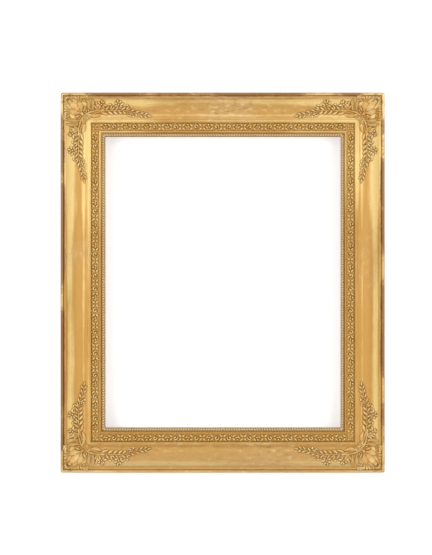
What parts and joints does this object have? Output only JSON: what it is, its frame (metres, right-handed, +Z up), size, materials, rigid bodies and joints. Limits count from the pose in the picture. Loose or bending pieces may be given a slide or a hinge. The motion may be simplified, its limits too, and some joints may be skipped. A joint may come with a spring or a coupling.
{
  "type": "picture frame",
  "caption": "Empty gilded picture frame with a wide hollow moulding, foliage frieze, ribbon sight edge, corner cartouches with leafy sprays, lapped back frame, hanging rings and turn buttons.",
  "frame": {"origin": "middle of the opening on the back plane, where the frame meets the wall", "axes": "+Z up, +X to the right of someone facing the frame, the gilded face looks along -Y and the back along +Y"},
  "size_m": [0.659, 0.0702, 0.773],
  "materials": {
    "gilt_moulding": "gesso and burnished gold leaf over red bole, worn at the edges",
    "gilt_slip": "gilded ribbon moulding, dulled",
    "gilt_ornament": "gilded composition castings with a dark wash in the hollows",
    "pine": "aged bare pine",
    "brass": "dull brass",
    "steel": "dull steel"
  },
  "bodies": {
    "frame": {"back_rail_top": "pine", "back_rail_bottom": "pine", "back_stile_left": "pine", "back_stile_right": "pine", "cove_top": "gilt_moulding", "cove_bottom": "gilt_moulding", "cove_left": "gilt_moulding", "cove_right": "gilt_moulding", "frieze_top": "gilt_ornament", "frieze_bottom": "gilt_ornament", "frieze_left": "gilt_ornament", "frieze_right": "gilt_ornament", "slip_top": "gilt_slip", "slip_bottom": "gilt_slip", "slip_left": "gilt_slip", "slip_right": "gilt_slip", "cartouche_top_left": "gilt_ornament", "cartouche_top_right": "gilt_ornament", "cartouche_bottom_left": "gilt_ornament", "cartouche_bottom_right": "gilt_ornament", "spray_top_left": "gilt_ornament", "spray_top_right": "gilt_ornament", "spray_bottom_left": "gilt_ornament", "spray_bottom_right": "gilt_ornament", "spray_left_top": "gilt_ornament", "spray_left_bottom": "gilt_ornament", "spray_right_top": "gilt_ornament", "spray_right_bottom": "gilt_ornament", "hanger_strap_left": "brass", "hanger_strap_right": "brass", "hanger_screws": "steel", "turn_button_screws": "steel"},
    "ring_left": {"hanger_ring_left": "brass"},
    "ring_right": {"hanger_ring_right": "brass"},
    "button_top": {"turn_button_top": "brass"},
    "button_bottom": {"turn_button_bottom": "brass"},
    "button_left": {"turn_button_left": "brass"},
    "button_right": {"turn_button_right": "brass"}
  },
  "joints": [
    {"name": "ring_left_swing", "type": "hinge", "parent": "frame", "child": "ring_left", "pos_m": [-0.29025, 0.00296, 0.1965], "axis": [1, 0, 0], "range_deg": [0, 180]},
    {"name": "ring_right_swing", "type": "hinge", "parent": "frame", "child": "ring_right", "pos_m": [0.29025, 0.00296, 0.1965], "axis": [1, 0, 0], "range_deg": [0, 180]},
    {"name": "button_top_turn", "type": "hinge", "parent": "frame", "child": "button_top", "pos_m": [0, 0.0011, 0.317], "axis": [0, 1, 0], "continuous": true},
    {"name": "button_bottom_turn", "type": "hinge", "parent": "frame", "child": "button_bottom", "pos_m": [0, 0.0011, -0.317], "axis": [0, 1, 0], "continuous": true},
    {"name": "button_left_turn", "type": "hinge", "parent": "frame", "child": "button_left", "pos_m": [-0.26, 0.0011, 0], "axis": [0, 1, 0], "continuous": true},
    {"name": "button_right_turn", "type": "hinge", "parent": "frame", "child": "button_right", "pos_m": [0.26, 0.0011, 0], "axis": [0, 1, 0], "continuous": true}
  ]
}
